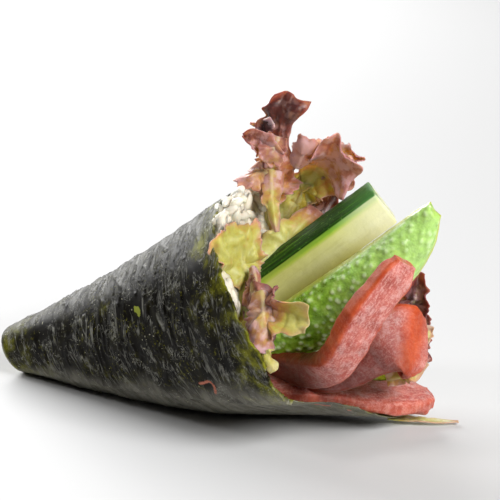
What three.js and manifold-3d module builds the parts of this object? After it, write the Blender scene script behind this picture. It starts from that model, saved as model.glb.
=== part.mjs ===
// A temaki hand roll lying on its side: a cone of nori filled with rice, with lettuce, cucumber,
// avocado and tuna standing out of its mouth. Millimetres, +Z up. The roll rests on the flat strip
// under the nori, with its origin there, and +X runs along that strip from the tip to the mouth.
import * as THREE from "three";
import Module from "manifold-3d";

const wasm = await Module();
wasm.setup();

// ---------------------------------------------------------------- driving dimensions

const HALF_ANGLE = THREE.MathUtils.degToRad(17.2); // of the cone
const REST_FROM_APEX = 88; // from the cone's own point, past the blunt tip, to the origin
const TIP = 20.7; // slant distances from the cone's point
const TIP_ROUND = 1.8;
const TIP_SLOPE = 0.3; // the blunt end leans back underneath
const TOP_RIM = 105.5;
const WAIST = 1.4; // how far the back sags inwards halfway along
const SINK = 1.2; // the depth pressed flat where the roll rests
const DENT = 0.355; // share of the radius pressed in below the front, at the mouth
const DENT_AT = 25; // degrees round from the bottom
const NORI = 0.6; // one layer
const SEAM = 52; // degrees round from the bottom, on the front
const GAP = 0.3; // between pieces that touch

const GRAIN_LENGTH = 6.2;
const GRAIN_WIDTH = 2.8;
const GRAINS = 42;

const CUCUMBER_LENGTH = 62;
const CUCUMBER_SKIN = 9.5; // across the rind
const CUCUMBER_DEPTH = 11.5; // from the rind to the seeds
const CUCUMBER_RADIUS = 19; // of the whole cucumber

const AVOCADO_WIDTH = 18.5; // across the outside of the slice
const AVOCADO_DEPTH = 12;
const AVOCADO_SLANT = 0.4; // how far the tip leans back, for each millimetre of depth
const AVOCADO_THINS = 0.5; // share of the depth lost at the tip

const LEAF = 0.5; // thickness of a lettuce leaf

// The mouth's edge: degrees round from the bottom, through the front (90) and over the top (180),
// and the slant distance there. The sheet's corner is the lip that reaches out along the table.
const RIM = [
  [-180, TOP_RIM],
  [-140, 107],
  [-100, 113],
  [-60, 120],
  [-34, 128],
  [-12, 133.5],
  [6, 130.5],
  [30, 124],
  [52, 122.3],
  [66, 122],
  [80, 122.8],
  [95, 119.8],
  [112, 116.2],
  [135, 110.3],
  [156, 107.5],
  [180, TOP_RIM],
];

// ---------------------------------------------------------------- small helpers

const vec = (x, y, z) => new THREE.Vector3(x, y, z);
const radians = THREE.MathUtils.degToRad;
const mix = THREE.MathUtils.lerp;
const smooth = (x, low, high) => THREE.MathUtils.smoothstep(x, low, high);
const bump = (x, middle, width) => Math.exp(-(((x - middle) / width) ** 2));

// A smooth curve through the points of a table, read at x.
function along(table, x) {
  const last = table.length - 1;
  let i = 0;
  while (i < last - 1 && x > table[i + 1][0]) i += 1;
  const [x0, y0] = table[i];
  const [x1, y1] = table[i + 1];
  const slope = (k) => {
    const a = table[Math.max(k - 1, 0)];
    const b = table[Math.min(k + 1, last)];
    return (b[1] - a[1]) / (b[0] - a[0]);
  };
  const t = THREE.MathUtils.clamp((x - x0) / (x1 - x0), 0, 1);
  const span = x1 - x0;
  const h = t * t * (3 - 2 * t);
  const rise = (t ** 3 - 2 * t * t + t) * slope(i) + (t ** 3 - t * t) * slope(i + 1);
  return y0 + (y1 - y0) * h + rise * span;
}

// A seeded run of numbers from 0 to 1.
function seeded(seed) {
  let state = seed;
  return () => {
    state = (state * 1664525 + 1013904223) % 4294967296;
    return state / 4294967296;
  };
}

function geometryOf(points, triangles) {
  const positions = new Float32Array(points.flatMap((p) => [p.x, p.y, p.z]));
  const geometry = new THREE.BufferGeometry();
  geometry.setAttribute("position", new THREE.BufferAttribute(positions, 3));
  geometry.setIndex(triangles);
  return geometry;
}

// Triangles of a band between two rows of point numbers, closed round if both rows are rings.
function band(a, b, closed) {
  const triangles = [];
  const n = a.length;
  for (let i = 0; i < (closed ? n : n - 1); i += 1) {
    const j = (i + 1) % n;
    triangles.push(a[i], a[j], b[j], a[i], b[j], b[i]);
  }
  return triangles;
}

// A closed body through rings of points, each ring running the same way round, with a middle
// point closing each end.
function ringed(rings, first, last) {
  const points = rings.flat();
  const n = rings[0].length;
  const row = (k) => Array.from({ length: n }, (_, i) => k * n + i);
  const triangles = [];
  for (let k = 0; k + 1 < rings.length; k += 1) triangles.push(...band(row(k), row(k + 1), true));
  points.push(first, last);
  const start = row(0);
  const end = row(rings.length - 1);
  for (let i = 0; i < n; i += 1) {
    const j = (i + 1) % n;
    triangles.push(points.length - 2, start[j], start[i]);
    triangles.push(points.length - 1, end[i], end[j]);
  }
  return geometryOf(points, triangles);
}

const middle = (ring) => ring.reduce((sum, p) => sum.add(p), vec(0, 0, 0)).divideScalar(ring.length);

// A body swept along a path. face(t) is the way it looks, and section(t) its outline, anticlockwise
// in (side, face), with how far each point is drawn back along the path.
function swept(path, face, section, steps) {
  const rings = [];
  for (let k = 0; k <= steps; k += 1) {
    const t = k / steps;
    const tangent = path.getTangent(t);
    const side = face(t).cross(tangent).normalize();
    const normal = tangent.clone().cross(side).normalize();
    const centre = path.getPoint(t);
    rings.push(
      section(t).map(([a, b, back = 0]) =>
        centre.clone().addScaledVector(side, a).addScaledVector(normal, b).addScaledVector(tangent, -back),
      ),
    );
  }
  return ringed(rings, middle(rings[0]), middle(rings[steps]));
}

// A thin closed sheet about surface(u, v), with both faces split into triangles alike.
function sheet(surface, us, vs, thickness) {
  const step = 1e-3;
  const faces = [[], []];
  vs.forEach((v) => {
    us.forEach((u) => {
      const across = surface(u + step, v).sub(surface(u - step, v));
      const outward = surface(u, v + step).sub(surface(u, v - step));
      const normal = across.cross(outward).normalize();
      [0.5, -0.5].forEach((share, face) => {
        faces[face].push(surface(u, v).addScaledVector(normal, share * thickness));
      });
    });
  });
  const wide = us.length;
  const tall = vs.length;
  const number = (r, c, face) => (face * tall + r) * wide + c;
  const row = (r, face) => us.map((_, c) => number(r, c, face));
  const column = (c, face) => vs.map((_, r) => number(r, c, face));
  const triangles = [
    ...band(row(0, 1), row(0, 0), false),
    ...band(row(tall - 1, 0), row(tall - 1, 1), false),
    ...band(column(0, 0), column(0, 1), false),
    ...band(column(wide - 1, 1), column(wide - 1, 0), false),
  ];
  for (let r = 0; r + 1 < tall; r += 1) {
    triangles.push(...band(row(r, 0), row(r + 1, 0), false));
    triangles.push(...band(row(r, 1), row(r + 1, 1), false).reverse());
  }
  return geometryOf([...faces[0], ...faces[1]], triangles);
}

// Solids for cutting and joining, and back.
function solid(geometry) {
  return new wasm.Manifold(
    new wasm.Mesh({
      numProp: 3,
      vertProperties: new Float32Array(geometry.attributes.position.array),
      triVerts: new Uint32Array(geometry.index.array),
    }),
  );
}

function geometryFrom(made) {
  const whole = made.decompose().reduce((a, b) => (b.volume() > a.volume() ? b : a));
  const { numProp, vertProperties, triVerts } = whole.getMesh();
  const points = [];
  for (let i = 0; i < vertProperties.length; i += numProp) {
    points.push(vec(vertProperties[i], vertProperties[i + 1], vertProperties[i + 2]));
  }
  return geometryOf(points, Array.from(triVerts));
}

// ---------------------------------------------------------------- nori

const APEX = vec(-REST_FROM_APEX, 0, 0);
const AXIS = vec(Math.cos(HALF_ANGLE), 0, Math.sin(HALF_ANGLE));
const DOWN = vec(Math.sin(HALF_ANGLE), 0, -Math.cos(HALF_ANGLE));
const FRONT = vec(0, -1, 0);

const wrapped = (degrees) => THREE.MathUtils.euclideanModulo(degrees + 180, 360) - 180;
const rim = (degrees) => along(RIM, wrapped(degrees));

// The cone's radius, with a blunt end and a back that sags a little halfway along.
function coneRadius(s, turn) {
  const straight = s * Math.sin(HALF_ANGLE);
  const halfway = Math.sin(Math.PI * THREE.MathUtils.clamp((s - TIP) / (TOP_RIM - TIP), 0, 1));
  const waist = WAIST * halfway * mix(-0.15, 1, smooth(Math.abs(turn), 20, 150));
  const t = THREE.MathUtils.clamp((s - TIP) / TIP_ROUND, 0, 1);
  return (straight - waist) * Math.cbrt(1 - (1 - t) ** 3);
}

// A point of the wrap: slant distance, degrees round from the bottom, and millimetres outwards.
// The wrap is pressed in below its front near the mouth, and flat where it rests.
function wrap(s, degrees, outwards) {
  const turn = wrapped(degrees);
  const dent = DENT * smooth(s, 72, 150) * bump(turn, DENT_AT, 33);
  const radius = coneRadius(s, turn) * (1 - dent) + outwards;
  const point = APEX.clone().addScaledVector(AXIS, s * Math.cos(HALF_ANGLE));
  point.addScaledVector(DOWN, radius * Math.cos(radians(turn)));
  point.addScaledVector(FRONT, radius * Math.sin(radians(turn)));
  point.addScaledVector(AXIS, TIP_SLOPE * radius * Math.cos(radians(turn)) * (1 - smooth(s, TIP, 45)));
  point.z = Math.max(point.z - SINK, -outwards);
  return point;
}

// The outer layer laps over the inner one at the seam, and lifts a little there near the mouth.
function lap(s, degrees) {
  const past = THREE.MathUtils.euclideanModulo(degrees - SEAM, 360);
  const lift = 0.7 * smooth(s, 70, 118) * Math.exp(-past / 14);
  return NORI * (1 - smooth(past, 170, 290)) + lift;
}

function nori(grow) {
  const columns = 46;
  const rows = [0.01, 0.026, 0.06, 0.13, 0.23, 0.34, 0.45, 0.56, 0.67, 0.78, 0.89, 1];
  const turns = Array.from({ length: columns + 1 }, (_, i) => SEAM + 359.8 - (359.6 * i) / columns);
  const slant = (degrees, share) => mix(TIP, rim(degrees), share);
  const outer = rows.map((share) =>
    turns.map((degrees) => {
      const s = slant(degrees, share);
      return wrap(s, degrees, (s < TIP + TIP_ROUND ? 0 : lap(s, degrees)) + grow);
    }),
  );
  const inner = rows.slice(1).reverse().map((share) => {
    const deep = Math.max(share, 0.03);
    return turns.map((degrees) => wrap(slant(degrees, deep), degrees, -NORI - grow));
  });
  const onAxis = (s) => APEX.clone().addScaledVector(AXIS, s * Math.cos(HALF_ANGLE));
  return ringed([...outer, ...inner], onAxis(TIP + 0.6), onAxis(TIP + 2.2));
}

// ---------------------------------------------------------------- rice

// How far forward the rice comes: proud of the rim over the top, short of the lip below, and low
// behind the front, where leaves line the mouth.
function riceFront(degrees) {
  const turn = wrapped(degrees);
  const proud = mix(-3, 3.5, smooth(Math.abs(turn), 110, 165));
  const lined = 6 * smooth(turn, 20, 45) * (1 - smooth(turn, 90, 108));
  return Math.min(rim(degrees) + proud - lined, mix(107, 119, smooth(Math.abs(turn), 40, 90)));
}

// The room inside the nori, clear of it by gap, up to front(degrees). Its face is a little hollow.
function room(front, columns, gap) {
  const rows = [0.05, 0.12, 0.24, 0.38, 0.52, 0.66, 0.8, 0.92, 1];
  const turns = Array.from({ length: columns }, (_, i) => 360 - (360 * i) / columns);
  const wall = rows.map((share) =>
    turns.map((degrees) => wrap(mix(TIP + 2.4, front(degrees), share), degrees, -NORI - gap)),
  );
  const centre = middle(wall.at(-1)).addScaledVector(AXIS, -4);
  const face = [0.82, 0.6, 0.36, 0.14].map((share) =>
    wall.at(-1).map((p) => centre.clone().lerp(p, share).addScaledVector(AXIS, 2.5 * (1 - share))),
  );
  const start = APEX.clone().addScaledVector(AXIS, (TIP + 3.4) * Math.cos(HALF_ANGLE));
  return ringed([...wall, ...face], start, middle(face.at(-1)));
}

function grain(random, place, facing) {
  const shape = new THREE.SphereGeometry(1, 5, 4);
  const turn = new THREE.Quaternion().setFromUnitVectors(vec(0, 0, 1), facing);
  const roll = new THREE.Quaternion().setFromAxisAngle(vec(0, 0, 1), random() * Math.PI * 2);
  const tilt = new THREE.Quaternion().setFromAxisAngle(vec(1, 0, 0), (random() - 0.5) * 0.9);
  const size = 0.9 + 0.2 * random();
  const scale = vec(GRAIN_WIDTH, GRAIN_LENGTH, GRAIN_WIDTH * 0.95).multiplyScalar(size / 2);
  const matrix = new THREE.Matrix4().compose(place, turn.multiply(roll).multiply(tilt), scale);
  return shape.applyMatrix4(matrix);
}

function welded(geometry) {
  const found = new Map();
  const points = [];
  const source = geometry.attributes.position;
  const numbers = Array.from({ length: source.count }, (_, i) => {
    const p = vec().fromBufferAttribute(source, i);
    const key = [p.x, p.y, p.z].map((value) => Math.round(value * 1e4)).join();
    if (!found.has(key)) found.set(key, points.push(p) - 1);
    return found.get(key);
  });
  const triangles = [];
  const index = geometry.index ? Array.from(geometry.index.array) : numbers.map((_, i) => i);
  for (let i = 0; i < index.length; i += 3) {
    const [a, b, c] = index.slice(i, i + 3).map((k) => numbers[k]);
    if (a !== b && b !== c && c !== a) triangles.push(a, b, c);
  }
  return geometryOf(points, triangles);
}

// The rice fills the cone round the pieces pushed into it, with whole grains on its face.
function rice(others) {
  const random = seeded(41);
  const core = solid(room(riceFront, 32, GAP + 0.15));
  const envelope = solid(room((degrees) => riceFront(degrees) + 4, 32, GAP + 0.35));
  const grains = [];
  for (let i = 0; i < GRAINS; i += 1) {
    const degrees = (i * 137.5) % 360;
    const share = Math.sqrt(mix(0.3, 0.93, (i + 0.5) / GRAINS));
    const edge = wrap(riceFront(degrees), degrees, -(NORI + GAP));
    const centre = APEX.clone().addScaledVector(AXIS, 100);
    const place = centre.lerp(edge, share).addScaledVector(AXIS, 0.8);
    grains.push(solid(welded(grain(random, place, AXIS))));
  }
  const heap = core.add(wasm.Manifold.union(grains).intersect(envelope));
  return geometryFrom(heap.subtract(wasm.Manifold.union(others)));
}

// ---------------------------------------------------------------- cucumber

const CUCUMBER_END = vec(36, 12, 58.5); // middle of the outer end
const CUCUMBER_WAY = vec(0.69, 0.385, 0.612).normalize();
const CUCUMBER_RIND = vec(-0.39, -0.41, 0.83); // the way the rind faces

function cucumber(name, grow) {
  const half = CUCUMBER_SKIN / 2 + grow;
  const depth = CUCUMBER_DEPTH / 2 + grow;
  const crown = CUCUMBER_RADIUS - Math.sqrt(CUCUMBER_RADIUS ** 2 - half ** 2);
  const outline = new THREE.Shape();
  outline.moveTo(-half * 0.66, -depth);
  outline.lineTo(half * 0.66, -depth);
  outline.lineTo(half, depth - crown);
  const sweep = Math.asin(half / CUCUMBER_RADIUS);
  const middleY = depth - CUCUMBER_RADIUS;
  outline.absarc(0, middleY, CUCUMBER_RADIUS, Math.PI / 2 - sweep, Math.PI / 2 + sweep, false);
  const geometry = new THREE.ExtrudeGeometry(outline, {
    depth: CUCUMBER_LENGTH + 2 * grow,
    bevelEnabled: false,
    curveSegments: 10,
    steps: 4,
  });
  const back = CUCUMBER_WAY.clone();
  const across = CUCUMBER_RIND.clone().cross(back).normalize();
  const up = back.clone().cross(across).normalize();
  const start = CUCUMBER_END.clone().addScaledVector(back, -CUCUMBER_LENGTH - grow);
  const frame = new THREE.Matrix4().makeBasis(across, up, back).setPosition(start);
  return welded(geometry.applyMatrix4(frame));
}

// ---------------------------------------------------------------- avocado

const AVOCADO_PATH = new THREE.CatmullRomCurve3([
  vec(-10, -5, 15),
  vec(6, -8, 21),
  vec(20, -9, 29.5),
  vec(37.5, -8, 43),
  vec(59, -2.6, 60.2),
]);
const AVOCADO_FACE = vec(0.35, -0.93, -0.05).normalize(); // the way the outside looks
const AVOCADO_SIZE = [[0, 0.45], [0.12, 0.75], [0.5, 0.95], [0.8, 1], [0.95, 0.94], [1, 0.8]];
// Shares of the half width that the slice reaches above its path and below it, where it narrows to
// a tip at its upper edge.
const AVOCADO_TOP = [[0, 0.5], [0.3, 0.6], [0.7, 0.59], [0.88, 0.62], [1, 0.78]];
const AVOCADO_LOW = [[0, 1.2], [0.4, 1.2], [0.8, 1], [0.86, 0.92], [0.91, 0.72], [0.96, 0.36], [1, -0.2]];

// A long wedge of a peeled avocado: round outside, flat inside.
function avocado(name, grow) {
  const section = (t) => {
    const size = along(AVOCADO_SIZE, t);
    const high = (AVOCADO_WIDTH / 2) * size * along(AVOCADO_TOP, t) + grow;
    const low = (AVOCADO_WIDTH / 2) * size * along(AVOCADO_LOW, t) + grow;
    const thins = 1 - AVOCADO_THINS * smooth(t, 0.85, 1);
    const depth = AVOCADO_DEPTH * Math.sqrt(size) * thins + 2 * grow;
    const slant = AVOCADO_SLANT * smooth(t, 0.6, 1);
    const point = (share, height) => [mix(-low, high, 0.5 + share / 2), height, Math.abs(height) * slant];
    const outline = [];
    for (let i = 0; i <= 10; i += 1) {
      const turn = mix(1, -1, i / 10);
      outline.push(point(Math.sin(turn * 1.3) / Math.sin(1.3), depth * (0.5 - 0.5 * turn ** 2)));
    }
    outline.push(point(-0.4, -depth * 0.5), point(0.4, -depth * 0.5));
    return outline;
  };
  return swept(AVOCADO_PATH, () => AVOCADO_FACE.clone(), section, 16);
}

// ---------------------------------------------------------------- tuna

// A strip of tuna with rounded corners: width and thickness along the path.
function strip(path, face, width, thick, grow, steps) {
  const corners = 14;
  const section = (t) => {
    const blunt = 1 - 0.35 * smooth(t, 0.94, 1) - 0.3 * smooth(1 - t, 0.94, 1);
    const a = (width(t) / 2) * blunt + grow;
    const b = (thick(t) / 2) * blunt + grow;
    return Array.from({ length: corners }, (_, i) => {
      const turn = (2 * Math.PI * (i + 0.5)) / corners;
      const power = (value) => Math.sign(value) * Math.abs(value) ** 0.55;
      return [a * power(Math.cos(turn)), b * power(Math.sin(turn))];
    });
  };
  return swept(path, face, section, steps);
}

// Each strip looks the way of its first face at its start, and turns to its second between two
// shares of its length.
const TUNA = {
  tuna_flat: {
    path: [vec(0, -10, 13), vec(12, -14, 14), vec(22, -12, 13.5), vec(32, -1, 10), vec(40, 8, 7.2),
      vec(48.5, 17, 6)],
    faces: [vec(0, -0.25, 0.97), vec(0, -0.25, 0.97)],
    turns: [0, 1],
    width: [[0, 8], [0.35, 11], [0.8, 13], [1, 11]],
    thick: [[0, 4], [0.5, 4.5], [1, 5.5]],
  },
  tuna_bent: {
    path: [vec(4, -8, 18), vec(21, -13, 18.6), vec(31, -17, 20.6), vec(38, -20.5, 24.5), vec(42.5, -22, 31),
      vec(46.5, -22, 38.5), vec(55, -17, 52.5)],
    faces: [vec(-0.2, -0.88, -0.4), vec(0.76, -0.6, -0.2)],
    turns: [0.3, 0.65],
    width: [[0, 8], [0.5, 9.5], [0.75, 10.5], [1, 10]],
    thick: [[0, 4], [0.5, 6.5], [1, 5.5]],
  },
  tuna_fold: {
    path: [vec(14, -7, 15), vec(32, -11, 17), vec(39, -12, 20), vec(44.5, -12, 24.5), vec(48.5, -11.5, 28.5),
      vec(50.5, -8, 29), vec(51.5, -4, 28), vec(51, 1, 26)],
    faces: [vec(0.475, -0.824, 0.309), vec(0.94, 0.33, 0.1)],
    turns: [0.7, 1],
    width: [[0, 6], [0.4, 9], [0.5, 13], [0.6, 17], [0.7, 19], [0.85, 18], [1, 13]],
    thick: [[0, 4], [0.5, 5], [1, 7]],
  },
};

function tuna(name, grow) {
  const { path, faces, turns, width, thick } = TUNA[name];
  const curve = new THREE.CatmullRomCurve3(path);
  const [first, last] = faces.map((face) => face.clone().normalize());
  const face = (t) => first.clone().lerp(last, smooth(t, ...turns));
  return strip(curve, face, (t) => along(width, t), (t) => along(thick, t), grow, 21);
}

// ---------------------------------------------------------------- lettuce

// Each leaf follows a spine and looks the way of its face. Its reach to the left and right, in
// millimetres, is given at shares of the spine's length. Its edges are raised by the cup, and they
// ruffle so many times by so much.
const LEAVES = {
  lettuce_tall: {
    spine: [vec(1, 9, 41), vec(5, 8, 48), vec(5, 8, 60), vec(7.5, 7.5, 66.5), vec(9, 7, 72),
      vec(9, 6.5, 77.5), vec(10.5, 6, 85.5)],
    face: vec(0.14, -0.96, -0.26),
    left: [[0, 2.3], [0.3, 2.4], [0.37, 5], [0.43, 7.5], [0.52, 5.5], [0.6, 7.5], [0.68, 10.5], [0.73, 11],
      [0.77, 6], [0.91, 6], [1, 2.4]],
    right: [[0, 2.3], [0.3, 2.8], [0.37, 4], [0.43, 6], [0.5, 8], [0.6, 6.4], [0.66, 4.4], [0.72, 1.8],
      [0.8, 2.2], [0.9, 4.4], [0.96, 6], [1, 6.3]],
    cup: 1.6,
    ruffle: 1.2,
    folds: 4.3,
  },
  lettuce_back: {
    spine: [vec(4, 15, 41), vec(9, 15, 54), vec(16, 14, 64), vec(22, 11, 71), vec(24.5, 9, 76)],
    face: vec(0.03, -0.95, -0.31),
    left: [[0, 2], [0.15, 4], [0.26, 4.6], [0.43, 4.6], [0.56, 7.3], [0.7, 8.8], [0.78, 9.5], [0.87, 7],
      [1, 4.5]],
    right: [[0, 3.4], [0.26, 2.7], [0.43, 4.2], [0.57, 6.4], [0.67, 10.2], [0.73, 11.2], [0.87, 10.7],
      [0.96, 12], [1, 11]],
    cup: 3,
    ruffle: 2.1,
    folds: 4,
  },
  lettuce_inner: {
    spine: [vec(7, 22.5, 43), vec(9, 24, 49), vec(12, 24, 53), vec(18, 21, 58)],
    face: vec(-0.03, -0.99, -0.12),
    left: [[0, 2], [0.3, 2.4], [1, 3]],
    right: [[0, 2.9], [0.3, 3.5], [0.7, 4.2], [1, 5]],
    cup: 2.5,
    ruffle: 1.3,
    folds: 2.5,
  },
  lettuce_front: {
    spine: [vec(12, -15, 36), vec(11, -15.5, 41.5), vec(10, -15.5, 47.5), vec(8, -15, 52.5),
      vec(7.5, -14.5, 55.5)],
    face: vec(0.94, -0.3, 0.2),
    left: [[0, 2.4], [0.15, 3.5], [0.35, 7], [0.5, 9.6], [0.65, 10.6], [0.82, 10.5], [0.92, 7], [1, 3.5]],
    right: [[0, 2.2], [0.2, 3.2], [0.45, 5], [0.6, 5.6], [0.85, 7.5], [1, 8.5]],
    cup: 0.8,
    ruffle: 0.5,
    folds: 2,
  },
  lettuce_frill: {
    spine: [vec(13.5, -18, 42), vec(17, -22.5, 40.5), vec(23.5, -27, 38), vec(29, -28.5, 37),
      vec(33.5, -28.5, 36.5)],
    face: vec(-0.23, -0.93, 0.3),
    left: [[0, 1.5], [0.2, 3], [0.42, 5], [0.6, 4.4], [0.75, 4.6], [1, 3.6]],
    right: [[0, 2], [0.25, 6], [0.5, 8], [0.62, 5.5], [0.74, 5.2], [0.82, 3], [0.92, 3], [1, 1.2]],
    cup: 0.8,
    ruffle: 1,
    folds: 2.2,
  },
  lettuce_side: {
    spine: [vec(30, 9.5, 24), vec(41, 11.5, 26.5), vec(51, 9.5, 28)],
    face: vec(-0.08, -1, 0.02),
    left: [[0, 5], [0.1, 7], [0.22, 9], [0.5, 13], [0.7, 17], [0.85, 17], [1, 13]],
    right: [[0, 4.3], [0.15, 5.7], [0.3, 10], [0.45, 14], [0.6, 16], [0.93, 16], [1, 14]],
    cup: 3.5,
    ruffle: 1.6,
    folds: 3.5,
  },
  lettuce_low: {
    spine: [vec(40, 10, 1.3), vec(51, 14.5, 0.7), vec(57, 17.5, 0.4)],
    face: vec(0, 0, 1),
    left: [[0, 1.8], [0.3, 2.2], [1, 0.9]],
    right: [[0, 1.8], [0.3, 2.2], [1, 0.9]],
    cup: 0.2,
    ruffle: 0.15,
    folds: 2,
  },
};

function leafSurface({ spine, face, left, right, cup, ruffle, folds }) {
  const curve = new THREE.CatmullRomCurve3(spine);
  const length = curve.getLength();
  return (u, v) => {
    const t = THREE.MathUtils.clamp(v, 0, 1);
    const tangent = curve.getTangentAt(t);
    const side = tangent.clone().cross(face).normalize();
    const normal = side.clone().cross(tangent).normalize();
    const share = 2 * u - 1;
    const reach = mix(along(left, t), along(right, t), smooth(share, -0.4, 0.4));
    const wave = Math.abs(share) ** 3 * Math.sin(2 * Math.PI * folds * v + (share > 0 ? 2 : 0));
    const end = 0.5 * smooth(v, 0.75, 1) * Math.sin(9 * u + 1);
    const lift = cup * share * share + ruffle * (smooth(v, 0.1, 0.6) * wave + end);
    return curve.getPointAt(t)
      .addScaledVector(tangent, (v - t) * length)
      .addScaledVector(side, reach * share)
      .addScaledVector(normal, lift);
  };
}

function lettuce(name, grow, columns = 8, spacing = 2.4) {
  const spaced = (parts, over) => {
    const shares = Array.from({ length: parts + 1 }, (_, i) => i / parts);
    return grow ? [-over, ...shares, 1 + over] : shares;
  };
  const us = spaced(columns, 0.12);
  const vs = spaced(Math.round(new THREE.CatmullRomCurve3(LEAVES[name].spine).getLength() / spacing), 0.03);
  return sheet(leafSurface(LEAVES[name]), us, vs, LEAF + 2 * grow);
}

// ---------------------------------------------------------------- the roll

function piece(name, geometry, color, roughness) {
  const mesh = new THREE.Mesh(
    geometry,
    new THREE.MeshStandardMaterial({ color, roughness, metalness: 0 }),
  );
  mesh.name = name;
  return mesh;
}

const roll = new THREE.Group();
roll.name = "temaki";

roll.add(piece("nori", nori(0), 0x23261b, 0.45));

// Each filling gives way to the ones placed before it, and the rice to them all.
const fillings = [
  ["cucumber", cucumber, 0xcfd08a, 0.35],
  ["avocado", avocado, 0x86b93c, 0.4],
  ["tuna_flat", tuna, 0xb5544a, 0.4],
  ["tuna_bent", tuna, 0xc25a4d, 0.4],
  ["tuna_fold", tuna, 0xb44a3c, 0.4],
  ["lettuce_tall", lettuce, 0x7c4a3a, 0.5],
  ["lettuce_back", lettuce, 0x9a7d45, 0.5],
  ["lettuce_inner", lettuce, 0x5d3a28, 0.5],
  ["lettuce_front", lettuce, 0xbdb56a, 0.5],
  ["lettuce_frill", lettuce, 0xa08355, 0.5],
  ["lettuce_side", lettuce, 0x6d4234, 0.5],
  ["lettuce_low", lettuce, 0xb7b489, 0.5],
];

const taken = [solid(nori(GAP))];
const pockets = [];
fillings.forEach(([name, shape, color, roughness]) => {
  const fitted = solid(shape(name, 0)).subtract(wasm.Manifold.union(taken));
  roll.add(piece(name, geometryFrom(fitted), color, roughness));
  taken.push(solid(shape(name, GAP)));
  pockets.push(solid(shape === lettuce ? lettuce(name, 0.75, 6, 3) : shape(name, GAP)));
});
roll.add(piece("rice", rice(pockets), 0xf1eee2, 0.5));

export default roll;
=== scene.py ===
"""Temaki hand roll: its looks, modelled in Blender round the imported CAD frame.

Lengths are in millimetres until a mesh is made. The axes are the frame's: the roll rests at the
origin, +X runs from its tip to its mouth, -Y is the shown side and +Z is up.
"""
import math

import bmesh
import bpy
import numpy as np
from mathutils import Matrix, Vector
from mathutils.bvhtree import BVHTree


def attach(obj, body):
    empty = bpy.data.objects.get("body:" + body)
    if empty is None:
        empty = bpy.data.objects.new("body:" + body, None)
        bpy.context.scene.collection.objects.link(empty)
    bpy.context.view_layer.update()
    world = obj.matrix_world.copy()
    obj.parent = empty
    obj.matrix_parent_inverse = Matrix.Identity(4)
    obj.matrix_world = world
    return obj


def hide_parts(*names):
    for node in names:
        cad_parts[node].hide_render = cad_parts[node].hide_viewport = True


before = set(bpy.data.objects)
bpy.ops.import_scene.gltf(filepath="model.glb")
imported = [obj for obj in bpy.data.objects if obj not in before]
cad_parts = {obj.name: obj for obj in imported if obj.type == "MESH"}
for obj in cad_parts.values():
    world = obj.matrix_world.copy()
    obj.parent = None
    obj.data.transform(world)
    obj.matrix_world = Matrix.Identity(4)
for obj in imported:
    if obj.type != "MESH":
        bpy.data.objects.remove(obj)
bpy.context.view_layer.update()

MM = 0.001


# ---- numbers and curves

def vec(*values):
    return np.array(values, float)


def length(v):
    return np.linalg.norm(v, axis=-1)


def unit(v):
    return v / length(v)[..., None]


def dot(a, b):
    return np.sum(a * b, axis=-1)


def mix(a, b, t):
    return a + (b - a) * t


def smooth(x, low, high):
    t = np.clip((x - low) / (high - low), 0, 1)
    return t * t * (3 - 2 * t)


def along(table, x):
    """A smooth curve through the pairs of a table, or through even steps from 0 to 1, read at x."""
    ys = np.array(table, float)
    xs, ys = ys.T if ys.ndim == 2 else (np.linspace(0, 1, len(ys)), ys)
    last = len(xs) - 1
    i = np.clip(np.searchsorted(xs, x) - 1, 0, last - 1)
    here = np.arange(last + 1)
    before, after = np.maximum(here - 1, 0), np.minimum(here + 1, last)
    slopes = (ys[after] - ys[before]) / (xs[after] - xs[before])
    span = xs[i + 1] - xs[i]
    t = np.clip((x - xs[i]) / span, 0, 1)
    rise = (t**3 - 2 * t * t + t) * slopes[i] + (t**3 - t * t) * slopes[i + 1]
    return mix(ys[i], ys[i + 1], t * t * (3 - 2 * t)) + rise * span


class Curve:
    """A centripetal Catmull-Rom curve through points."""

    SAMPLES = 1500

    def __init__(self, points):
        points = np.array(points, float)
        self.points = np.array([2 * points[0] - points[1], *points, 2 * points[-1] - points[-2]])
        self.shares = np.linspace(0, 1, self.SAMPLES)
        steps = length(np.diff(self.point(self.shares), axis=0))
        self.lengths = np.r_[0, np.cumsum(steps)]
        self.length = self.lengths[-1]

    def point(self, t):
        spans = len(self.points) - 3
        place = np.asarray(t, float) * spans
        i = np.clip(np.floor(place).astype(int), 0, spans - 1)
        w = (place - i)[..., None]
        p = [self.points[i + k] for k in range(4)]
        d = [np.sqrt(length(p[k + 1] - p[k]))[..., None] for k in range(3)]
        start = (p[1] - p[0]) / d[0] - (p[2] - p[0]) / (d[0] + d[1]) + (p[2] - p[1]) / d[1]
        end = (p[2] - p[1]) / d[1] - (p[3] - p[1]) / (d[1] + d[2]) + (p[3] - p[2]) / d[2]
        start, end = start * d[1], end * d[1]
        square = -3 * p[1] + 3 * p[2] - 2 * start - end
        cube = 2 * p[1] - 2 * p[2] + start + end
        return p[1] + w * (start + w * (square + w * cube))

    def tangent(self, t):
        low, high = np.clip(t - 1e-4, 0, 1), np.clip(t + 1e-4, 0, 1)
        return unit(self.point(high) - self.point(low))

    def even(self, u):
        """The curve's own share at an even share of its length."""
        return np.interp(u * self.length, self.lengths, self.shares)


def hashed(cells, seed):
    """A number from 0 to 1 for each whole-numbered cell."""
    n = cells[..., 0] * 73856093 ^ cells[..., 1] * 19349663 ^ cells[..., 2] * 83492791
    n = (n ^ (seed * 2654435761)) & 0xFFFFFFFF
    n = ((n ^ (n >> 15)) * 2246822519) & 0xFFFFFFFF
    n = ((n ^ (n >> 13)) * 3266489917) & 0xFFFFFFFF
    return ((n ^ (n >> 16)) & 0xFFFFFF) / 0xFFFFFF


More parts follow.
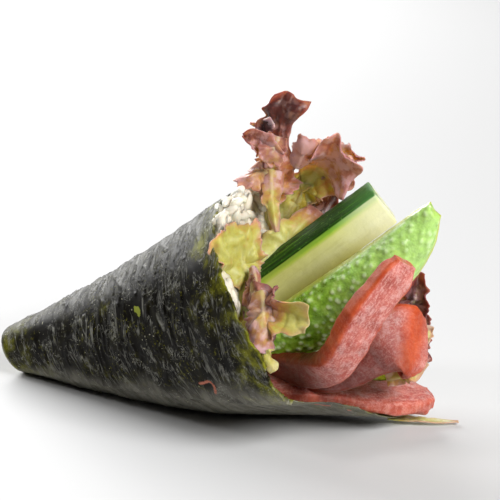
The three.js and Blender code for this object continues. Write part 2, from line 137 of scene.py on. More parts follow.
def noise(points, seed):
    """Smooth noise from -1 to 1, with features about one unit across."""
    cell = np.floor(points).astype(np.int64)
    f = points - cell
    f = f**3 * (f * (f * 6 - 15) + 10)
    total = 0
    for corner in np.ndindex(2, 2, 2):
        weight = np.prod(np.where(np.array(corner) == 1, f, 1 - f), axis=-1)
        total = total + weight * hashed(cell + np.array(corner), seed)
    return 2 * total - 1


def rough(points, seed):
    """Noise with finer noise added twice."""
    return sum(noise(points * 2**k, seed + k) / 2**k for k in range(3)) / 1.5


def folded(points, seed):
    """Noise with sharp crests, as in crumpled cloth, from -1 to 1."""
    return 1 - 3 * np.abs(noise(points, seed))


def pebbles(points, seed):
    """Distance to the nearest of scattered points about one unit apart."""
    cell = np.floor(points).astype(np.int64)
    best = np.full(points.shape[:-1], 9.0)
    for corner in np.ndindex(3, 3, 3):
        c = cell + np.array(corner) - 1
        centre = c + np.stack([hashed(c, seed + k) for k in range(3)], -1)
        best = np.minimum(best, length(points - centre))
    return best


def stacked(*values):
    """Values as the last axis of one array, spread to a common shape."""
    return np.stack(np.broadcast_arrays(*values), -1)


# ---- meshes

def placed(name, data):
    """A new object in the scene."""
    thing = bpy.data.objects.new(name, data)
    bpy.context.collection.objects.link(thing)
    return thing


def mesh_piece(name, points, faces, channels=()):
    """A smooth mesh object. Its points hold x, y, z and one value for each named channel."""
    mesh = bpy.data.meshes.new(name)
    mesh.from_pydata((points[:, :3] * MM).tolist(), [], faces)
    for k, channel in enumerate(channels):
        layer = mesh.attributes.new(channel, "FLOAT", "POINT")
        layer.data.foreach_set("value", points[:, 3 + k].astype(np.float32))
    body = bmesh.new()
    body.from_mesh(mesh)
    if body.calc_volume(signed=True) < 0:
        mesh.flip_normals()
    body.free()
    mesh.shade_smooth()
    return placed(name, mesh)


def grid_faces(rows, columns, closed, start=0):
    r = np.arange(rows - 1)[:, None]
    c = np.arange(columns if closed else columns - 1)[None, :]
    a, b = r * columns + c, r * columns + (c + 1) % columns
    return (np.stack([a, b, b + columns, a + columns], -1).reshape(-1, 4) + start).tolist()


def tube_faces(rows, columns):
    """Faces through rings of points, closed by a fan at each end to the two points that follow."""
    faces = grid_faces(rows, columns, True)
    count = rows * columns
    end = count - columns
    for i in range(columns):
        j = (i + 1) % columns
        faces += [[count, j, i], [count + 1, end + i, end + j]]
    return faces


def ringed(name, rings, channels=(), caps=1):
    """A closed body through rings of points, with flat ends of caps rings each."""
    shares = np.arange(1, caps)[:, None, None] / caps
    first, last = rings[0].mean(0), rings[-1].mean(0)
    rings = np.concatenate([mix(first, rings[:1], shares), rings, mix(last, rings[-1:], shares[::-1])])
    rows, columns = rings.shape[:2]
    points = np.concatenate([rings.reshape(rows * columns, -1), [first, last]])
    return mesh_piece(name, points, tube_faces(rows, columns), channels)


def joined_sheets(name, sheets, channels):
    """Thin closed sheets in one mesh. Each is a grid of points with channels, and its thickness."""
    points, faces = [], []
    start = 0
    for middle, thickness in sheets:
        rows, columns = middle.shape[:2]
        count = rows * columns
        place = middle[..., :3]
        normal = unit(np.cross(np.gradient(place, axis=1), np.gradient(place, axis=0)))
        for share in (0.5, -0.5):
            face = middle.copy()
            face[..., :3] += normal * (share * thickness)[..., None]
            points.append(face.reshape(count, -1))
        numbers = np.arange(count).reshape(rows, columns) + start
        edge = np.concatenate([numbers[0], numbers[1:, -1], numbers[-1, -2::-1], numbers[-2:0:-1, 0]])
        following = np.roll(edge, -1)
        faces += grid_faces(rows, columns, False, start)
        faces += [face[::-1] for face in grid_faces(rows, columns, False, start + count)]
        faces += np.stack([following, edge, edge + count, following + count], -1).tolist()
        start += 2 * count
    return mesh_piece(name, np.concatenate(points), faces, channels)


def channel_values(piece, name):
    values = np.empty(len(piece.data.vertices), np.float32)
    piece.data.attributes[name].data.foreach_get("value", values)
    return values


def surface_points(piece):
    """A mesh's points and normals, in millimetres."""
    count = len(piece.data.vertices)
    places, normals = np.empty(count * 3), np.empty(count * 3, np.float32)
    piece.data.vertices.foreach_get("co", places)
    piece.data.vertex_normals.foreach_get("vector", normals)
    return places.reshape(-1, 3) / MM, normals.reshape(-1, 3).astype(float)


def relief(piece, heights):
    """Moves each point of a mesh along its normal."""
    places, normals = surface_points(piece)
    places = places + normals * heights[:, None]
    piece.data.vertices.foreach_set("co", (places * MM).ravel())
    piece.data.update()


# ---- materials

def rgb(code):
    """A hex colour as the linear value that Blender's sockets take."""
    values = [int(code[i:i + 2], 16) / 255 for i in (0, 2, 4)]
    return (*[v / 12.92 if v < 0.04045 else ((v + 0.055) / 1.055) ** 2.4 for v in values], 1.0)


class Nodes:
    """Short calls that add nodes to a tree."""

    def __init__(self, tree):
        self.tree = tree

    def put(self, socket, value):
        if isinstance(value, bpy.types.NodeSocket):
            self.tree.links.new(value, socket)
        else:
            socket.default_value = value

    def add(self, kind, inputs, **settings):
        node = self.tree.nodes.new("ShaderNode" + kind)
        for key, value in settings.items():
            setattr(node, key, value)
        for key, value in inputs.items():
            self.put(node.inputs[key], value)
        return node

    def __getitem__(self, channel):
        """The values of a mesh's channel."""
        return self.add("Attribute", {}, attribute_name=channel).outputs["Fac"]

    def joined(self, x, y, z=0.0):
        return self.add("CombineXYZ", {"X": x, "Y": y, "Z": z}).outputs["Vector"]

    def grain(self, vector, scale=1.0, detail=3.0, roughness=0.5, distortion=0.0):
        inputs = {"Vector": vector, "Scale": scale, "Detail": detail, "Roughness": roughness,
                  "Distortion": distortion}
        return self.add("TexNoise", inputs).outputs["Fac"]

    def speckle(self, size, **settings):
        """Noise over a piece, with features about size millimetres across."""
        source = self.add("TexCoord", {}).outputs["Object"]
        inputs = {"Vector": source, "Scale": [1 / (MM * size)] * 3}
        return self.grain(self.add("Mapping", inputs).outputs["Vector"], **settings)

    def math(self, operation, a, b=0.0):
        return self.add("Math", {0: a, 1: b}, operation=operation).outputs[0]

    def times(self, a, b):
        return self.math("MULTIPLY", a, b)

    def plus(self, a, b):
        return self.math("ADD", a, b)

    def minus(self, a, b):
        return self.math("SUBTRACT", a, b)

    def step(self, value, low, high):
        """From 0 at low to 1 at high, smoothly."""
        inputs = {"Value": value, "From Min": low, "From Max": high}
        return self.add("MapRange", inputs, interpolation_type="SMOOTHSTEP").outputs["Result"]

    def ramp(self, value, *stops):
        node = self.add("ValToRGB", {"Fac": value})
        elements = node.color_ramp.elements
        while len(elements) < len(stops):
            elements.new(0.5)
        for element, (position, code) in zip(elements, stops):
            element.position = position
            element.color = rgb(code)
        return node.outputs["Color"]

    def blend(self, below, over, share, most=1.0):
        """One colour over another, where share says, and never more than most of it."""
        share = share if most == 1 else self.times(share, most)
        below, over = [rgb(c) if isinstance(c, str) else c for c in (below, over)]
        return self.add("Mix", {0: share, 6: below, 7: over}, data_type="RGBA").outputs[2]

    def wrinkles(self, across, along_it, fine, long, sharp):
        """Thin ridges, fine to the millimetre across and long the other way: 1 on a crest and 0 off it."""
        place = self.joined(self.times(across, fine), self.times(along_it, long))
        waves = self.grain(place, distortion=2.2)
        off = self.math("ABSOLUTE", self.times(self.minus(waves, 0.5), sharp))
        return self.math("POWER", self.math("MAXIMUM", self.minus(1.0, off), 0.0), 2.0)

    def bumps(self, height, distance, strength, below=None):
        inputs = {"Height": height, "Distance": distance * MM, "Strength": strength}
        if below is not None:
            inputs["Normal"] = below
        return self.add("Bump", inputs).outputs["Normal"]


class Finish(Nodes):
    """A principled material. soft is how much light enters it, and reach how deep, in metres."""

    def __init__(self, name, shine, soft=0.0, tint=(1.0, 0.2, 0.1), reach=0.05):
        self.material = bpy.data.materials.new(name)
        self.material.use_nodes = True
        super().__init__(self.material.node_tree)
        self.fill({"Specular IOR Level": shine, "Subsurface Weight": soft, "Subsurface Radius": tint,
                   "Subsurface Scale": reach})

    def fill(self, sockets):
        surface = self.tree.nodes["Principled BSDF"]
        for key, value in sockets.items():
            self.put(surface.inputs[key], value)
        return self.material

    def finish(self, colour, roughness, normal):
        return self.fill({"Base Color": colour, "Roughness": roughness, "Normal": normal})


def nori_finish():
    """Dry seaweed: near black, olive where thin, with a painted sheen above, a painted floor reflection
    below, and painted glints on fine wrinkles.
    """
    f = Finish("nori", 0.08)
    s, arc = f["slant"], f["arc"]
    blotch = f.plus(f.speckle(6, detail=5, roughness=0.7), f.times(f["thin"], 0.21))
    base = f.ramp(blotch, (0.5, "0c0905"), (0.6, "1a1706"), (0.68, "3d3c0a"), (0.84, "84841c"))
    speck = f.speckle(0.9, roughness=0.7)
    cluster = f.step(f.speckle(8), 0.45, 0.6)
    base = f.blend(base, "5c5a17", f.times(f.step(speck, 0.56, 0.66), cluster))
    patch = f.step(f.grain(f.joined(s, arc), scale=0.16, detail=5, roughness=0.65), 0.45, 0.6)
    near = f.step(f.grain(f.joined(arc, s), scale=0.18, detail=5, roughness=0.65), 0.5, 0.62)
    lines = f.times(f.wrinkles(s, arc, 0.17, 0.045, 20), patch)
    finer = f.times(f.wrinkles(s, f.plus(arc, f.times(s, 0.8)), 0.3, 0.09, 26), near)
    cross = f.times(f.wrinkles(f.minus(arc, s), f.plus(arc, s), 0.2, 0.07, 30), near)
    # painted glints: the crests of these wrinkles are painted pale, as light catching them; they bump the
    # surface as well
    pale = f.math("MAXIMUM", f.math("MAXIMUM", lines, finer), cross)
    streaks = f.grain(f.joined(f.times(s, 0.5), f.times(arc, 0.12)), detail=4, roughness=0.6)
    streaks = f.step(streaks, 0.38, 0.62)
    # painted sheen: grey streaks along the top of the cone, where the sheet catches the light from behind
    base = f.blend(base, "6e6d68", f.times(f["painted_sheen"], streaks), 0.85)
    # painted reflection: the bright floor reflected in the underside, as light grey streaks along the bottom
    base = f.blend(base, "8f8c80", f.times(f["under"], f.plus(0.45, f.times(streaks, 0.4))))
    base = f.blend(base, "a09f94", pale, 0.75)
    fleck = f.plus(f["fleck"], f.times(speck, 0.6))
    base = f.blend(base, "8f9738", f.step(fleck, 0.6, 0.9))
    scrap = f.plus(f["scrap"], f.times(speck, 1.6))
    base = f.blend(base, "b8705a", f.step(scrap, 1.2, 1.6))
    # painted glints: tiny pale specks scattered over the sheet
    base = f.blend(base, "c4c0a4", f.step(f.speckle(0.7, detail=2), 0.7, 0.75), 0.9)
    normal = f.bumps(lines, 0.35, 0.9, below=f.bumps(finer, 0.12, 0.8))
    return f.finish(base, f.plus(0.25, f.times(speck, 0.3)), normal)


def rice_finish():
    """Cooked rice: warm white, with light passing through it."""
    f = Finish("rice", 0.35, soft=0.9, tint=(0.7, 0.85, 1.0), reach=0.007)
    base = f.ramp(f.speckle(1.6), (0.35, "e6dfc0"), (0.65, "f0ecd8"))
    return f.finish(base, 0.4, f.bumps(f.speckle(0.45), 0.1, 0.5))


def cucumber_finish():
    """Dark rind over a bright green layer, then pale wet flesh, with painted shade to the left and painted
    highlights at the right end.
    """
    f = Finish("cucumber", 0.12, soft=0.3, tint=(1.0, 1.0, 0.35), reach=0.0012)
    depth, run, rind = f["depth"], f["run"], f["rind"]
    deep = f.plus(depth, f.times(f.minus(f.speckle(4), 0.5), 0.5))
    flesh = f.ramp(f.math("DIVIDE", deep, CUCUMBER_DEPTH), (0.0, "4f8a1c"), (0.1, "7cb02e"),
                   (0.16, "b3cb4e"), (0.23, "d9da92"), (0.6, "e0dfa6"), (0.95, "bfb963"))
    streak = f.grain(f.joined(f.times(run, 0.12), f.times(depth, 1.1)))
    flesh = f.blend(flesh, "b4b063", f.step(streak, 0.5, 0.75), 0.25)
    # painted shade: the flesh darkens to olive towards the left, deep inside the cone
    flesh = f.blend(flesh, "9a9448", f.step(run, 56, 26), 0.55)
    # painted highlight: the flesh turns near white towards the right end, where the light falls
    flesh = f.blend(flesh, "f4f2d4", f.step(run, 46, 62), 0.6)
    stripe = f.grain(f.joined(f.times(run, 0.03), f["across"]), scale=1.3, detail=2)
    skin = f.ramp(stripe, (0.4, "143002"), (0.6, "255004"), (0.75, "5b901c"))
    skin = f.blend(skin, "5c8d33", f.step(f.speckle(0.8, detail=2), 0.62, 0.75))
    # painted highlight: the rind turns pale green towards the right end
    skin = f.blend(skin, "5f9a52", f.step(run, 50, 61), 0.6)
    wet = f.speckle(0.7)
    roughness = f.plus(f.plus(0.25, f.times(wet, 0.2)), f.times(rind, 0.15))
    return f.finish(f.blend(flesh, skin, rind), roughness, f.bumps(wet, 0.12, 0.5))


def avocado_finish():
    """Green outside, turning yellow-green towards the cut faces, with painted highlights on its knobs,
    painted light at the right end and painted shade to the left.
    """
    f = Finish("avocado", 0.7, soft=0.3, tint=(1.0, 1.0, 0.3), reach=0.0012)
    run = f["run"]
    mottle = f.speckle(2.4, detail=4, roughness=0.6)
    outer = f.ramp(mottle, (0.32, "648c16"), (0.48, "88b92a"), (0.6, "a6d346"), (0.76, "cbe98c"))
    # painted highlights: the crests of the knobs are painted pale, as wet glints
    outer = f.blend(outer, "e4f7c8", f.step(f["knob"], 0.25, 0.75), 0.85)
    # painted light: the outside turns pale towards the right end, where the light falls
    outer = f.blend(outer, "b0d47e", f.step(run, 0.6, 0.95), 0.65)
    # painted shade: the outside darkens towards the left, inside the cone
    outer = f.blend(outer, "5c7a12", f.step(run, 0.45, 0.25), 0.6)
    outer = f.blend(outer, "bcc248", f.step(f["edge"], 0.8, 0.95), 0.85)
    face = f.ramp(f.speckle(3, detail=2), (0.35, "b9bf4c"), (0.7, "cfd069"))
    base = f.blend(outer, face, f["cut"])
    return f.finish(base, f.plus(0.2, f.times(mottle, 0.2)), f.bumps(f.speckle(0.6), 0.2, 0.8))


def tuna_finish():
    """Raw tuna: pink and mottled with pale fibres on the broad faces, clear red on the narrow ones."""
    f = Finish("tuna", 0.35, soft=0.25, tint=(1.0, 0.35, 0.25), reach=0.0015)
    broad, run, across = f["broad"], f["run"], f["across"]
    lengthwise = f.joined(f.times(run, 0.5), f.times(across, 1.6), broad)
    fibres = f.grain(lengthwise, detail=4, roughness=0.65, distortion=0.5)
    fuzz = f.speckle(0.5, detail=4, roughness=0.7)
    mottle = f.speckle(4)
    face = f.ramp(mottle, (0.3, "a2493f"), (0.55, "ba5f54"), (0.75, "cb796b"))
    pale = f.step(f.times(f.plus(fibres, fuzz), 0.5), 0.46, 0.6)
    face = f.blend(face, "dfaba0", pale, 0.55)
    frost = f.step(f.speckle(2.6, detail=6, roughness=0.8), 0.48, 0.62)
    face = f.blend(face, "dcb0aa", frost, 0.5)
    side = f.ramp(mottle, (0.3, "a13414"), (0.7, "c95628"))
    side = f.blend(side, "dd977d", pale, 0.15)
    base = f.blend(f.blend(side, face, broad), "4a160f", f["dark"], 0.75)
    normal = f.bumps(fibres, 0.3, 0.6, below=f.bumps(fuzz, 0.2, 0.6))
    return f.finish(base, f.plus(0.32, f.times(fuzz, 0.25)), normal)


def lettuce_finish():
    """Cream at the rib, yellow-green over the blade, then brown and dark red, with a mauve margin, partly
    its own red edge and partly a painted rim highlight.
    """
    f = Finish("lettuce", 0.35, soft=0.6, tint=(1.0, 0.75, 0.4), reach=0.002)
    f.fill({"Sheen Weight": 0.2, "Sheen Roughness": 0.35})
    red, bloom = f["red"], f["bloom"]
    cloud = f.speckle(3, detail=4, roughness=0.65)
    shade = f.plus(red, f.times(f.minus(cloud, 0.5), 0.7))
    base = f.ramp(shade, (0.0, "e2e0bc"), (0.16, "bfbc72"), (0.36, "aea64c"), (0.5, "b18746"),
                  (0.66, "a06857"), (0.84, "6a3533"), (1.0, "321513"))
    base = f.blend(base, "d0c896", f["rib"], 0.45)
    spread = f.times(f.minus(bloom, 1.0), 0.16)
    mauve = f.step(f.plus(f.speckle(2.2, detail=4), spread), 0.46, 0.62)
    where = f.minus(f.step(red, 0.35, 0.65), f.times(f.step(red, 0.85, 1.05), 0.8))
    base = f.blend(base, "bf9b9f", f.times(mauve, where), 0.75)
    # the margin is partly the leaf's own red edge and partly a painted rim highlight, pale pink where the
    # blade is green
    edge = f.blend("b97f84", "85383d", f.step(red, 0.7, 1.0))
    pink = f.plus(0.25, f.times(f.math("MINIMUM", bloom, 1.0), 0.45))
    base = f.blend(base, edge, f.times(f["margin"], pink))
    fleck = f.speckle(0.6)
    normal = f.bumps(cloud, 0.5, 0.5, below=f.bumps(fleck, 0.12, 0.5))
    return f.finish(base, f.plus(0.3, f.times(fleck, 0.25)), normal)


def dress(piece, finish, node):
    """Gives a piece its finish and its place in the frame."""
    piece.data.materials.append(finish)
    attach(piece, "root")
    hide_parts(node)
    return piece


# ---- the cone of nori

HALF_ANGLE = math.radians(17.2)
REST_FROM_APEX = 88
TIP = 20.7  # slant distance from the apex, as are the rim's
TIP_ROUND = 1.8
TIP_SLOPE = 0.3
TOP_RIM = 105.5
WAIST = 1.4  # how far the sides draw in, halfway
SINK = 1.2  # how far the roll is pressed flat where it rests
DENT = 0.355  # share of the radius that the mouth draws in
DENT_AT = 25  # degrees round from the bottom, as are the rim's
DENT_WIDTH = 33
NORI = 0.6  # one layer with the air under it, as in the frame
NORI_SHEET = 0.3  # the sheet itself
GAP = 0.3  # between the sheet and the rice
SEAM = 52
SEAM_LIFT = 0.7
RIM = [(-180, TOP_RIM), (-140, 107), (-100, 113), (-60, 120), (-34, 128), (-12, 133.5), (6, 130.5),
       (30, 124), (52, 122.3), (66, 122), (80, 122.8), (95, 119.8), (112, 116.2), (135, 110.3),
       (156, 107.5), (180, TOP_RIM)]
RAGGED = 0.9  # how far the rim's edge strays
RIDGE, SWELL, LUMP, CRUMB = 0.35, 0.22, 0.18, 0.03  # heights of the sheet's relief
FLECK_SLANT = 80.3  # a pale green spot in the sheet
FLECK_ARC = 47
SCRAP = [(97.2, 33.8), (99.3, 35.1), (101.2, 36.1), (101.8, 35.4), (101.5, 33.7), (100.5, 31.4)]
SCRAP_WIDTH = 0.7
SCRAP_HEIGHT = 0.3

APEX = vec(-REST_FROM_APEX, 0, 0)
AXIS = vec(math.cos(HALF_ANGLE), 0, math.sin(HALF_ANGLE))
DOWN = vec(math.sin(HALF_ANGLE), 0, -math.cos(HALF_ANGLE))
FRONT = vec(0, -1, 0)


def wrapped(degrees):
    return (np.asarray(degrees) + 180) % 360 - 180


def rim(degrees):
    return along(RIM, wrapped(degrees))


def cone_radius(s, turn):
    halfway = np.sin(np.pi * np.clip((s - TIP) / (TOP_RIM - TIP), 0, 1))
    waist = WAIST * halfway * mix(-0.15, 1, smooth(np.abs(turn), 20, 150))
    t = np.clip((s - TIP) / TIP_ROUND, 0, 1)
    return (s * math.sin(HALF_ANGLE) - waist) * np.cbrt(1 - (1 - t) ** 3)


def wrap(s, degrees, outwards):
    """A point of the wrap: slant distance, degrees round from the bottom, millimetres outwards."""
    s, degrees, outwards = np.broadcast_arrays(s, degrees, np.asarray(outwards, float))
    turn = wrapped(degrees)
    dent = DENT * smooth(s, 72, 150) * np.exp(-(((turn - DENT_AT) / DENT_WIDTH) ** 2))
    radius = cone_radius(s, turn) * (1 - dent) + outwards
    down, front = np.cos(np.radians(turn)), np.sin(np.radians(turn))
    lean = TIP_SLOPE * radius * down * (1 - smooth(s, TIP, 45))
    point = APEX + AXIS * (s * math.cos(HALF_ANGLE) + lean)[..., None]
    point = point + DOWN * (radius * down)[..., None] + FRONT * (radius * front)[..., None]
    point[..., 2] = np.maximum(point[..., 2] - SINK, np.minimum(-outwards, NORI))
    return point


def lap(s, degrees):
    """How far the overlap lifts the sheet, most of all at its edge near the mouth."""
    past = (degrees - SEAM) % 360
    return NORI * (1 - smooth(past, 170, 290)) + SEAM_LIFT * smooth(s, 70, 118) * np.exp(-past / 14)


def crinkle(s, arc):
    """The height of wrinkles that mostly run round the cone."""
    here = stacked(s, arc, 0)
    bent = s + 2.4 * noise(here / 12, 5)
    ridge = np.clip(1 - 3 * np.abs(noise(stacked(bent / 1.7, arc / 8, 0), 11)), 0, 1) ** 2
    height = RIDGE * ridge * smooth(noise(here / 14, 17), -0.3, 0.4)
    height += SWELL * noise(stacked(bent / 3.4, arc / 11, 0), 23)
    height += LUMP * noise(here / 9, 29) + CRUMB * rough(here / 1.5, 31)
    return height


def nori():
    columns = 400
    turns = SEAM + 359.8 - 359.6 * np.arange(columns)[None, :] / (columns - 1)
    shares = np.r_[0.004:0.05:16j, 0.055:1:240j][:, None]
    s = mix(TIP, rim(turns) + RAGGED * rough(stacked(turns / 3.2, 0, 0), 3), shares)
    arc = np.radians(turns) * s * math.sin(HALF_ANGLE)
    calm = smooth(s, TIP, TIP + 5) * smooth(np.abs(wrapped(turns)), 3, 22)
    layer = lap(s, turns) * smooth(s, TIP, TIP + 3)
    thin = 1 - smooth(s, TIP, TIP + 22) + smooth(s / rim(turns), 0.84, 1)
    fleck = np.hypot(s - FLECK_SLANT, arc - FLECK_ARC + 0.5 * noise(stacked(s, arc, 0), 2))
    fleck = 1 - smooth(fleck, 1, 1.6)
    scrap = Curve([(*place, 0) for place in SCRAP]).point(np.linspace(0, 1, 60))
    scrap = np.min(np.hypot(s[..., None] - scrap[:, 0], arc[..., None] - scrap[:, 1]), -1)
    scrap = 1 - smooth(scrap, 0.1, SCRAP_WIDTH)
    # the two masks below paint light: a floor reflection along the bottom and a sheen along the top
    from_bottom = np.abs(wrapped(turns)) + 9 * noise(stacked(s / 7, arc / 9, 0), 7)
    under, painted_sheen = 1 - smooth(from_bottom, 48, 70), smooth(from_bottom, 128, 146)
    outer = wrap(s, turns, layer + crinkle(s, arc) * calm + SCRAP_HEIGHT * scrap)
    outer[..., 2] = np.maximum(outer[..., 2], 0)
    outer = np.concatenate([outer, stacked(s, arc, thin, fleck, scrap, under, painted_sheen)], -1)
    keep = slice(20, None, 5)  # the inside is coarser, and starts short of the tip
    s, arc, thin = s[keep], arc[keep], thin[keep]
    inner = np.concatenate([wrap(s, turns, -NORI_SHEET), stacked(s, arc, thin, 0, 0, 0, 0)], -1)
    rings = np.concatenate([outer, outer[-1:] * 0.5 + inner[-1:] * 0.5, inner[::-1]])
    piece = ringed("nori_sheet", rings, ("slant", "arc", "thin", "fleck", "scrap", "under", "painted_sheen"))
    return dress(piece, nori_finish(), "nori")


# ---- cucumber

CUCUMBER_LENGTH = 62
CUCUMBER_SKIN = 9.5
CUCUMBER_DEPTH = 11.5
CUCUMBER_RADIUS = 19  # of the whole cucumber
CUCUMBER_HEART = 0.66  # width of the inner face, as a share of the rind's
CUCUMBER_END = vec(36, 12, 58.5)
CUCUMBER_WAY = unit(vec(0.69, 0.385, 0.612))
CUCUMBER_RIND = vec(-0.39, -0.41, 0.83)


def rounded_outline(corners, spacing):
    """A closed outline through corners, evenly spaced and then eased at the corners."""
    corners = np.array(corners, float)
    outline = np.concatenate([np.linspace(a, b, max(2, int(length(b - a) / spacing)), endpoint=False)
                              for a, b in zip(corners, np.roll(corners, -1, axis=0))])
    for _ in range(2):
        outline = 0.5 * outline + 0.25 * (np.roll(outline, 1, 0) + np.roll(outline, -1, 0))
    return outline


def cucumber():
    half, depth = CUCUMBER_SKIN / 2, CUCUMBER_DEPTH / 2
    sweep = math.asin(half / CUCUMBER_RADIUS)
    arc = [(CUCUMBER_RADIUS * math.sin(a), depth - CUCUMBER_RADIUS * (1 - math.cos(a)))
           for a in np.linspace(sweep, -sweep, 12)]
    inner = half * CUCUMBER_HEART
    outline = rounded_outline([(-inner, -depth), (inner, -depth), *arc], 0.3)
    across = unit(np.cross(CUCUMBER_RIND, CUCUMBER_WAY))
    up = np.cross(CUCUMBER_WAY, across)
    end = CUCUMBER_LENGTH
    runs = np.r_[0.02, 0.12, 0.4:end - 0.4:150j, end - 0.1, end]
    ends = 1 - 0.03 * (1 - smooth(np.minimum(runs, end - runs), 0, 0.4))
    a, b = outline[None, :, 0] * ends[:, None], outline[None, :, 1] * ends[:, None]
    start = CUCUMBER_END - CUCUMBER_WAY * end
    places = start + CUCUMBER_WAY * runs[:, None, None] + across * a[..., None] + up * b[..., None]
    below = depth - CUCUMBER_RADIUS + np.sqrt(CUCUMBER_RADIUS**2 - np.clip(a, -half, half) ** 2) - b
    rind = 1 - smooth(below, 0.12, 0.34)
    rings = np.concatenate([places, stacked(below, runs[:, None], a, rind)], -1)
    piece = ringed("cucumber_stick", rings, ("depth", "run", "across", "rind"), caps=12)
    places, _ = surface_points(piece)
    skin = channel_values(piece, "rind")
    wave = 0.1 * noise(places / 6, 3) + 0.05 * noise(places / 1.7, 4)
    relief(piece, mix(wave, 0.07 * noise(places / 1.1, 5) + 0.1 * noise(places / 5, 6), skin))
    return dress(piece, cucumber_finish(), "cucumber")


# ---- avocado

AVOCADO_WIDTH = 18.5
AVOCADO_DEPTH = 12
AVOCADO_PATH = Curve([(-10, -5, 15), (6, -8, 21), (20, -9, 29.5), (37.5, -8, 43), (59, -2.6, 60.2)])
AVOCADO_FACE = unit(vec(0.35, -0.93, -0.05))
AVOCADO_SIZE = [(0, 0.45), (0.12, 0.75), (0.5, 0.95), (0.8, 1), (0.95, 0.94), (1, 0.8)]
# the outside's reach above and below the path, as shares of half the width
AVOCADO_TOP = [(0, 0.5), (0.3, 0.6), (0.7, 0.59), (0.88, 0.62), (1, 0.78)]
AVOCADO_LOW = [(0, 1.2), (0.4, 1.2), (0.8, 1), (0.86, 0.92), (0.91, 0.72), (0.96, 0.36), (1, -0.2)]
AVOCADO_SLANT = 0.4  # how far the tip leans back, for each millimetre of depth
AVOCADO_THINS = 0.5  # share of the depth lost at the tip
AVOCADO_ROUND = 1.3  # half the angle that the outside turns through
KNOB_APART = 1.9
KNOB_HEIGHT = 0.6


def swept_rings(path, faces, turns, t, section):
    """Rings along a path, turning from one facing to another, with a section across and outwards."""
    tangent = path.tangent(t)
    facing = mix(unit(vec(*faces[0])), unit(vec(*faces[1])), smooth(t, *turns)[:, None])
    side = unit(np.cross(facing, tangent))
    normal = unit(np.cross(tangent, side))
    places = path.point(t)[:, None] + side[:, None] * section[..., :1]
    return places + normal[:, None] * section[..., 1:2]


def avocado():
    t = np.r_[0:0.94:170j, 0.945:1:16j]
    size = along(AVOCADO_SIZE, t)
    high = AVOCADO_WIDTH / 2 * size * along(AVOCADO_TOP, t)
    low = AVOCADO_WIDTH / 2 * size * along(AVOCADO_LOW, t)
    depth = AVOCADO_DEPTH * np.sqrt(size) * (1 - AVOCADO_THINS * smooth(t, 0.85, 1))
    middle, half = ((high - low) / 2)[:, None], ((high + low) / 2)[:, None]
    turn = np.linspace(1, -1, 80)[None, :]
    across = middle + half * np.sin(turn * AVOCADO_ROUND) / math.sin(AVOCADO_ROUND)
    arc = stacked(across, depth[:, None] * (0.5 - 0.5 * turn**2), np.abs(turn), 0)
    inside = [stacked((middle + half * share)[:, 0], -depth * 0.5) for share in (-0.4, 0.4)]
    corners = [arc[:, -1, :2], *inside, arc[:, 0, :2]]
    cuts = []
    for a, b, count in zip(corners, corners[1:], (22, 8, 22)):
        share = np.linspace(0, 1, count, endpoint=False)[None, 1:, None]
        flat = mix(a[:, None], b[:, None], share)
        cuts.append(np.concatenate([flat, stacked(np.ones(flat.shape[:2]), 1)], -1))
    section = np.concatenate([arc, *cuts], 1)
    places = swept_rings(AVOCADO_PATH, (AVOCADO_FACE, AVOCADO_FACE), (0, 1), t, section)
    back = np.abs(section[..., 1]) * AVOCADO_SLANT * smooth(t, 0.6, 1)[:, None]
    places = places - AVOCADO_PATH.tangent(t)[:, None] * back[..., None]
    knob = 1 - np.minimum(pebbles(places / KNOB_APART, 8) / 0.6, 1)
    rings = np.concatenate([places, section[..., 2:], stacked(t[:, None], knob)], -1)
    piece = ringed("avocado_slice", rings, ("edge", "cut", "run", "knob"), caps=10)
    places, _ = surface_points(piece)
    cut, knob = channel_values(piece, "cut"), channel_values(piece, "knob")
    inside = 1 - 0.85 * smooth(channel_values(piece, "edge"), 0.72, 0.95)
    outer = inside * (KNOB_HEIGHT * knob + 0.3 * rough(places / 4.5, 9)) + 0.2 * noise(places / 9, 10)
    relief(piece, mix(outer, 0.08 * noise(places / 3, 12), cut))
    return dress(piece, avocado_finish(), "avocado")


# ---- tuna

# pink says where the broad faces are pale, from one end to the other, and slant how far that shifts
# across the strip, sides how pale the narrow faces are, and dark where it is shaded by the rest
TUNA = {}
TUNA["tuna_flat"] = dict(
    path=[(0, -10, 13), (12, -14, 14), (22, -12, 13.5), (32, -1, 10), (40, 8, 7.2), (48.5, 17, 6)],
    faces=[(0, -0.25, 0.97), (0, -0.25, 0.97)], turns=(0, 1), width=[(0, 8), (0.35, 11), (0.8, 13), (1, 11)],
    thick=(4, 4.5, 5.5), pink=(1, 1), slant=0, sides=0.55, dark=[(0, 1), (0.25, 0.5), (0.35, 0), (1, 0)])
TUNA["tuna_bent"] = dict(
    path=[(4, -8, 18), (21, -13, 18.6), (31, -17, 20.6), (38, -20.5, 24.5), (42.5, -22, 31),
          (46.5, -22, 38.5), (55, -17, 52.5)], faces=[(-0.2, -0.88, -0.4), (0.76, -0.6, -0.2)],
    turns=(0.3, 0.65), width=[(0, 8), (0.5, 9.5), (0.75, 10.5), (1, 10)], thick=(4, 6.5, 5.5), pink=(1, 1),
    slant=0, sides=0, dark=[(0, 1), (0.35, 0.8), (0.5, 0), (1, 0)])
